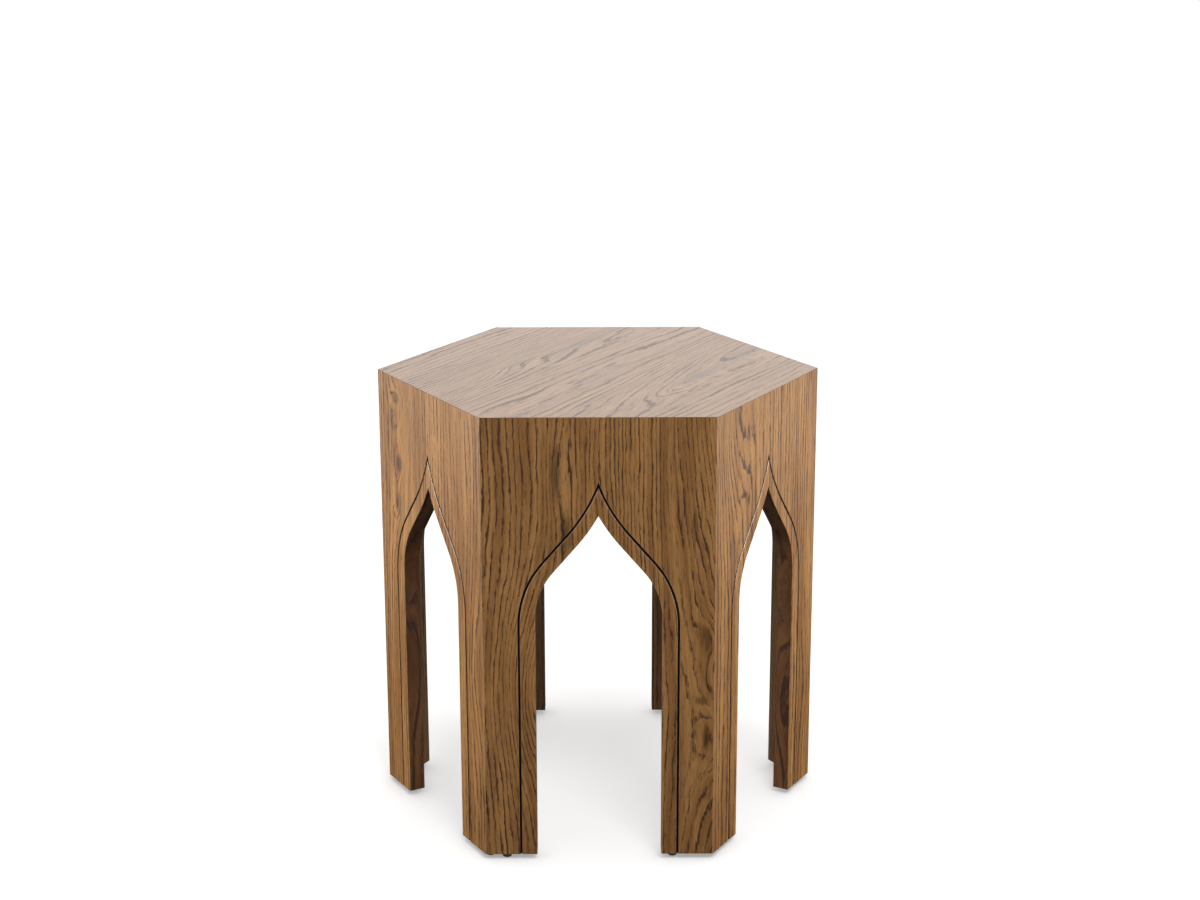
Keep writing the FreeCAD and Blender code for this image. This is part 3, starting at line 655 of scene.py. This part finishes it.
# %% [markdown]
# ## Edges and inner faces
# The lining of each opening and the backing inside the drum are the same oak, but stained
# darker. On a lining the grain follows the strip, so the direction across the grain is the
# depth of the board: one more quarter turn. Its rings are wide, because the strips were cut
# where the knife grazed them, and each strip shows two eyes of figure on its way up.

# %% Linings
STRIP_DRIFT, STRIP_DRIFT_STEP, STRIP_RING = 71.3, 7.1, 12
# An eye: out from the strip's middle, height, climb from side to side, then as in a swell.
STRIP_EYES = ((-3, 110, 9, 14, 75, 1.5), (5, 235, 7, 9, 50, -1.7))

lining_low, lining_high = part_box("arch_lining_1")
strip_middle = -(lining_low[1] + lining_high[1]) / 2 / MM
for side in EVERY_SIDE:
    eyes = [
        (strip_middle + out, height + climb * side, *swell)
        for out, height, climb, *swell in STRIP_EYES
    ]
    strip_leaf = Leaf(STRIP_DRIFT + side * STRIP_DRIFT_STEP, STRIP_RING, eyes)
    strip_turns = (("Z", QUARTER - side_turn(side)),)
    strip = oak(f"oak_lining_{side}", strip_turns, strip_leaf, EDGE_BROWN, outward(side))
    dress([f"arch_lining_{side}"], strip)
print("strip middle", round(strip_middle, 1), "mm from the axis")

# %% Backings
INNER_DRIFT, INNER_DRIFT_STEP, INNER_RING = 83.9, 5.3, 6
UNDER_DRIFT, UNDER_RING = 97.1, 8

for side in EVERY_SIDE:
    inner_leaf = Leaf(INNER_DRIFT + side * INNER_DRIFT_STEP, INNER_RING)
    inner_turns = (("Z", -side_turn(side)),)
    inner = oak(f"oak_backing_{side}", inner_turns, inner_leaf, INNER_BROWN, -outward(side))
    dress([f"side_backing_veneer_{side}"], inner)
under_leaf = Leaf(UNDER_DRIFT, UNDER_RING)
dress(["top_backing_veneer"], oak("oak_backing_top", top_turns, under_leaf, INNER_BROWN, -UP))
print("backings dressed")

# %% [markdown]
# ## Boards, cleats and hardware
# The fibreboard cores show only in the bottom of the groove and at the feet. Both were
# stained, so the board is nearly black in the groove and brown with felted fibres elsewhere.

# %% Fibreboard
FELT, CLUMP = (0.5, 0.5, 0.5), (6, 6, 6)
CLUMP_SHARE = 0.5
CORE_DARK = (0.035, 0.021, 0.013, 1)
CORE_PALE = (0.085, 0.052, 0.031, 1)
CORE_ROUGHNESS = 0.5
FELT_DEPTH, FELT_RELIEF = 0.1, 0.4


def fibreboard():
    finish = Finish("fibreboard")
    felt = finish.noise(finish.place, FELT, detail=5, roughness=0.7)
    clumps = finish.noise(finish.place, CLUMP, drift=2, detail=3)
    fine = finish.math("MULTIPLY", felt, 1 - CLUMP_SHARE)
    tone = finish.math("MULTIPLY_ADD", clumps, CLUMP_SHARE, fine)
    colour = finish.mix(tone, CORE_DARK, CORE_PALE)
    for side in EVERY_SIDE:
        flank = finish.math("COMPARE", finish.facing(outward(side)), FLANK_LEAN, FLANK_SPAN)
        colour = finish.mix(flank, colour, GROOVE_STAIN)
    finish.feed(finish.shader.inputs["Base Color"], colour)
    finish.shader.inputs["Roughness"].default_value = CORE_ROUGHNESS
    finish.relief(felt, FELT_DEPTH, FELT_RELIEF)
    return finish.material


dress(["top_core", *(f"side_core_{side}" for side in EVERY_SIDE)], fibreboard())
print("cores dressed")

# %% [markdown]
# The cleats and corner blocks are planed softwood: wide pale early wood, thin dark late wood
# and no pores. The cleats lie along the sides, so their grain does too.

# %% Softwood
SOFT_RING = 4.5
LATE_STOPS = ((0.0, 0.0), (0.6, 0.15), (0.9, 1.0), (1.0, 0.0))
EARLY_WOOD = (0.52, 0.33, 0.17, 1)
LATE_WOOD = (0.34, 0.17, 0.065, 1)
PLANED = (0.5, 0.5, 14)
PLANED_GAIN, PLANED_FLOOR = 0.4, 0.8
SAWN, LATE_SMOOTHER = 0.65, -0.1
PLANED_DEPTH = 0.06
CLEAT_DRIFT_STEP, BLOCK_DRIFT = 3.3, 29.0


def softwood(name, turns, drift):
    finish = Finish(name)
    wood = along_grain(finish, turns)
    rings = ring_number(finish, wood, Leaf(drift, SOFT_RING))
    late = finish.curve(finish.math("FRACT", rings), LATE_STOPS)
    fibre = finish.noise(wood, PLANED, drift + 1, detail=3)
    value = finish.math("MULTIPLY_ADD", fibre, PLANED_GAIN, PLANED_FLOOR)
    colour = finish.value_by(finish.mix(late, EARLY_WOOD, LATE_WOOD), value)
    finish.feed(finish.shader.inputs["Base Color"], colour)
    roughness = finish.math("MULTIPLY_ADD", late, LATE_SMOOTHER, SAWN)
    finish.feed(finish.shader.inputs["Roughness"], roughness)
    finish.relief(fibre, PLANED_DEPTH)
    return finish.material


for side in EVERY_SIDE:
    cleat_turns = (("Z", -side_turn(side)), ("Y", QUARTER))
    cleat = softwood(f"softwood_cleat_{side}", cleat_turns, side * CLEAT_DRIFT_STEP)
    dress([f"top_cleat_{side}"], cleat)
block = softwood("softwood_block", (), BLOCK_DRIFT)
dress([f"corner_block_{side}" for side in EVERY_SIDE], block)
print("cleats and blocks dressed")

# %% [markdown]
# The splines are birch plywood, seen only if a mitre is opened.

# %% Plywood
PLY = (1.3, 1.3, 900)
PLY_PALE = (0.62, 0.44, 0.25, 1)
PLY_DARK = (0.42, 0.26, 0.13, 1)
PLY_ROUGHNESS = 0.7


def plywood():
    finish = Finish("birch_plywood")
    plies = finish.node("ShaderNodeTexNoise")
    finish.feed(plies.inputs["Vector"], finish.measured(finish.place, (0, 0, 0), PLY))
    colour = finish.mix(plies.outputs["Fac"], PLY_PALE, PLY_DARK)
    finish.feed(finish.shader.inputs["Base Color"], colour)
    finish.shader.inputs["Roughness"].default_value = PLY_ROUGHNESS
    return finish.material


dress([f"mitre_spline_{side}" for side in EVERY_SIDE], plywood())
print("splines dressed")

# %% [markdown]
# Screws and nails are zinc-plated steel, a grey metal with a faint mottle.

# %% Steel
MOTTLE = (1.5, 1.5, 1.5)
MOTTLE_DARKER, MOTTLE_ROUGHER = 0.6, 0.2
SCREW_ZINC, SCREW_ROUGHNESS = (0.52, 0.50, 0.46), 0.3
NAIL_STEEL, NAIL_ROUGHNESS = (0.42, 0.42, 0.43), 0.35


def steel(name, colour, smooth):
    finish = Finish(name)
    mottle = finish.noise(finish.place, MOTTLE, detail=4)
    darker = tuple(channel * MOTTLE_DARKER for channel in colour)
    mottled = finish.mix(mottle, (*colour, 1), (*darker, 1))
    finish.feed(finish.shader.inputs["Base Color"], mottled)
    roughness = finish.math("MULTIPLY_ADD", mottle, MOTTLE_ROUGHER, smooth)
    finish.feed(finish.shader.inputs["Roughness"], roughness)
    finish.shader.inputs["Metallic"].default_value = 1
    return finish.material


screws = ["cleat_side_screws", "cleat_top_screws"]
dress(screws, steel("screw_zinc", SCREW_ZINC, SCREW_ROUGHNESS))
dress(["glide_nails"], steel("nail_steel", NAIL_STEEL, NAIL_ROUGHNESS))
print("screws and nails dressed")

# %% [markdown]
# The glides are grey-brown nylon, moulded with a fine grain and scuffed paler on the face
# that slides.

# %% Nylon
MOULD_GRAIN = (0.4, 0.4, 0.4)
SCUFF = (0.7, 5, 2)
NYLON_DARK = (0.150, 0.118, 0.094, 1)
NYLON_PALE = (0.240, 0.195, 0.160, 1)
NYLON_SCUFFED = (0.34, 0.30, 0.26, 1)
NYLON_ROUGHNESS, GRAIN_ROUGHER = 0.4, 0.2


def nylon():
    finish = Finish("glide_nylon")
    grain = finish.noise(finish.place, MOULD_GRAIN, detail=3)
    scuffs = finish.noise(finish.place, SCUFF, drift=4, detail=4)
    scuffed = finish.math("MULTIPLY", finish.facing(-UP), scuffs, clamp=True)
    colour = finish.mix(grain, NYLON_DARK, NYLON_PALE)
    colour = finish.mix(scuffed, colour, NYLON_SCUFFED)
    finish.feed(finish.shader.inputs["Base Color"], colour)
    roughness = finish.math("MULTIPLY_ADD", grain, GRAIN_ROUGHER, NYLON_ROUGHNESS)
    finish.feed(finish.shader.inputs["Roughness"], roughness)
    return finish.material


dress(["glide_pads"], nylon())
print("glides dressed")

# %% [markdown]
# ## The floor
# The photograph's floor is pure white, with soft grey shadows under the table. A white floor
# that is lit hard enough to clip would bleach the wood as well. So what the camera sees of
# the floor is part glow and part lit paint: the glow makes it white and climbs from under the
# table outwards, and the paint keeps the shadow. The middle of the shadow lies a little
# towards the camera, as in the photograph. Light that bounces off the floor meets grey paint.
# Reflections see a floor that is dim beside the table and on the camera's side, and that
# brightens with distance. From below the floor is clear, so that the underside can be looked
# at.

# %% Floor paint
WHITE = (1, 1, 1, 1)
BOUNCE_PAINT = (0.42, 0.42, 0.42, 1)
SHADOW_MIDDLE = (0, -0.05, 0)
# The distances between which the glow climbs, then how strong it is near and far.
GLOW = (0.2, 0.42, 0.62, 0.8)
# How far from a foot its contact shadow reaches, and how much of the glow it can take away.
CONTACT_REACH, CONTACT_DEPTH = 0.03, 0.5
# The same kind of climb for what reflections see, by distance and from the camera's side.
MIRRORED_FLOOR = (0.4, 2.8, 0.03, 0.62)
CAMERA_SIDE_DIMMED = (-0.6, 0.2, 0, 1)


def shade(finish, kind, **inputs):
    """A plain shader with its inputs fed."""
    made = finish.node(kind)
    for name, value in inputs.items():
        finish.feed(made.inputs[name], value)
    return made.outputs[0]


def join(finish, kind, *values):
    """A shader that adds or mixes others."""
    made = finish.node(kind)
    for socket, value in zip(made.inputs, values):
        finish.feed(socket, value)
    return made.outputs[0]


def seen_floor(finish, radius):
    """White glow, less the contact shadows, over paint that takes the soft shadow."""
    contact = finish.node("ShaderNodeAmbientOcclusion")
    contact.inputs["Distance"].default_value = CONTACT_REACH
    openness = contact.outputs["AO"]
    openness = finish.math("MULTIPLY_ADD", openness, CONTACT_DEPTH, 1 - CONTACT_DEPTH)
    glow = finish.math("MULTIPLY", finish.ease(radius, *GLOW), openness)
    glowing = shade(finish, "ShaderNodeEmission", Color=WHITE, Strength=glow)
    lit = shade(finish, "ShaderNodeBsdfDiffuse", Color=WHITE)
    return join(finish, "ShaderNodeAddShader", lit, glowing)


print("glow climbs from", GLOW[0], "to", GLOW[1], "m")

# %% Floor
FLOOR_HALF = 6.0


def floor_material():
    finish = Finish("studio_floor")
    finish.tree.nodes.remove(finish.shader)
    ray = finish.node("ShaderNodeLightPath").outputs
    radius = finish.node("ShaderNodeVectorMath", operation="DISTANCE")
    finish.feed(radius.inputs[0], finish.place)
    radius.inputs[1].default_value = SHADOW_MIDDLE
    radius = radius.outputs["Value"]

    level = finish.ease(radius, *MIRRORED_FLOOR)
    dimmed = finish.ease(finish.parts(finish.place)["Y"], *CAMERA_SIDE_DIMMED)
    level = finish.math("MULTIPLY", level, dimmed)
    mirrored = shade(finish, "ShaderNodeEmission", Color=WHITE, Strength=level)
    bounced = shade(finish, "ShaderNodeBsdfDiffuse", Color=BOUNCE_PAINT)
    gloss = finish.math("MAXIMUM", ray["Is Glossy Ray"], ray["Is Transmission Ray"])
    unseen = join(finish, "ShaderNodeMixShader", gloss, bounced, mirrored)
    seen = seen_floor(finish, radius)
    above = join(finish, "ShaderNodeMixShader", ray["Is Camera Ray"], unseen, seen)
    from_below = finish.node("ShaderNodeNewGeometry").outputs["Backfacing"]
    clear = shade(finish, "ShaderNodeBsdfTransparent", Color=WHITE)
    result = join(finish, "ShaderNodeMixShader", from_below, above, clear)
    finish.feed(finish.tree.nodes["Material Output"].inputs["Surface"], result)
    return finish.material


bpy.ops.mesh.primitive_plane_add(size=2 * FLOOR_HALF, location=(0, 0, 0))
floor = bpy.context.object
floor.name = "floor"
floor.data.materials.append(floor_material())
print("floor", 2 * FLOOR_HALF, "m across")

# %% [markdown]
# ## Studio light
# The two sides that turn away from the camera are much brighter than the front, and brighter
# above than at the feet. So the light comes from two small soft boxes near the table, left and
# right, at about the height of its top. A small one right of the camera and high up fills the
# front and glints in the groove, and a broad one behind the table lights the back. The rest is
# a ceiling of light that fades towards the horizon, which makes the soft shadow under the
# table.
#
# The sky is built from the direction of a ray. Rays that scatter see the ceiling. Reflections
# see white behind the table, where the grazing top picks it up, and dark on the camera's side,
# where the front would lose its colour. The camera itself sees plain white.

# %% Sky
CEILING = 0.62
CEILING_FADE = 2
# How far towards the back the mirrored sky climbs, then from what level to what level.
MIRRORED_SKY = (-0.7, 0.5, 0.03, 1.34)


def sky():
    world = bpy.data.worlds.new("studio_sky")
    bpy.context.scene.world = world
    recipe = Recipe(world)
    ray = recipe.node("ShaderNodeLightPath").outputs
    direction = recipe.parts(recipe.node("ShaderNodeTexCoord").outputs["Generated"])
    height = recipe.math("MAXIMUM", direction["Z"], 0)
    ceiling = recipe.math("MULTIPLY", recipe.math("POWER", height, CEILING_FADE), CEILING)
    behind = recipe.ease(direction["Y"], *MIRRORED_SKY)
    strength = recipe.mix(ray["Is Glossy Ray"], ceiling, behind)
    straight = recipe.math("MAXIMUM", ray["Is Camera Ray"], ray["Is Transmission Ray"])
    strength = recipe.mix(straight, strength, WHITE)
    background = recipe.tree.nodes["Background"]
    recipe.feed(background.inputs["Strength"], strength)
    background.inputs["Color"].default_value = WHITE


sky()
print("ceiling", CEILING)

# %% [markdown]
# Light linking keeps the side and back boxes off the floor, as a studio does with flags.
# Otherwise they cross through the arches and light the one spot that should be darkest. The
# side boxes are kept off the top as well, which would show them as white glare from the
# other side. The back box stays out of reflections, because the top would mirror it straight
# at the camera.

# %% Soft boxes
# The point inside the drum that every box looks at.
AIM = Vector((0, 0, 0.3))


def flagged_off(name, *pieces):
    """A group of the pieces that a lamp doesn't reach."""
    shaded = bpy.data.collections.new(name)
    for piece in pieces:
        shaded.objects.link(piece)
    for linked in shaded.collection_objects:
        linked.light_linking.link_state = "EXCLUDE"
    return shaded


def soft_box(name, place, width, height, level, flag=None, mirrored=True):
    """An area light. At level 1, a card at the aim that faces it shows its own colour."""
    place = Vector(place)
    light = bpy.data.lights.new(name, "AREA")
    light.shape = "RECTANGLE"
    light.size, light.size_y = width, height
    light.energy = level * math.pi**2 * (place - AIM).length_squared
    box = bpy.data.objects.new(name, light)
    box.location = place
    box.rotation_mode = "QUATERNION"
    box.rotation_quaternion = (AIM - place).to_track_quat("-Z", "Y")
    bpy.context.scene.collection.objects.link(box)
    box.visible_glossy = mirrored
    if flag:
        box.light_linking.receiver_collection = flag
    print(name, round(light.energy, 1), "W")


floor_flag = flagged_off("floor_flag", floor)
side_flag = flagged_off("side_flag", floor, nodes["top_face_veneer"])
soft_box("left_box", (-1.02, -0.41, 0.5), 0.5, 0.4, level=0.7, flag=side_flag)
soft_box("right_box", (1.04, -0.42, 0.46), 0.5, 0.4, level=0.61, flag=side_flag)
soft_box("back_box", (0, 1.9, 1.2), 1.2, 0.8, level=0.35, flag=floor_flag, mirrored=False)
soft_box("front_box", (0.42, -1.45, 1.92), 0.8, 0.36, level=0.235)

# %% [markdown]
# ## The camera
# The ten corners of the hexagon that show in the photograph fix the camera: how far it
# stands, how much it looks down and how long its lens is.

# %% Camera
SENSOR = 36.0
PHOTO_WIDTH_PX = 1200
FOCAL_LENGTH_PX = 2229.2
CAMERA_PLACE = Vector((-0.0032, -2.5, 1.1175))
YAW, PITCH, ROLL = 0.0022, 0.2742, -0.0024

lens = bpy.data.cameras.new("camera")
lens.sensor_width = SENSOR
lens.lens = FOCAL_LENGTH_PX / PHOTO_WIDTH_PX * SENSOR
camera = bpy.data.objects.new("camera", lens)
look = Matrix.Rotation(-YAW, 4, "Z") @ Matrix.Rotation(math.pi / 2 - PITCH, 4, "X")
camera.matrix_world = Matrix.Translation(CAMERA_PLACE) @ look @ Matrix.Rotation(ROLL, 4, "Z")
bpy.context.scene.collection.objects.link(camera)
bpy.context.scene.camera = camera
bpy.context.scene.view_settings.view_transform = "Standard"
print("lens", round(lens.lens, 2), "mm")

# %% [markdown]
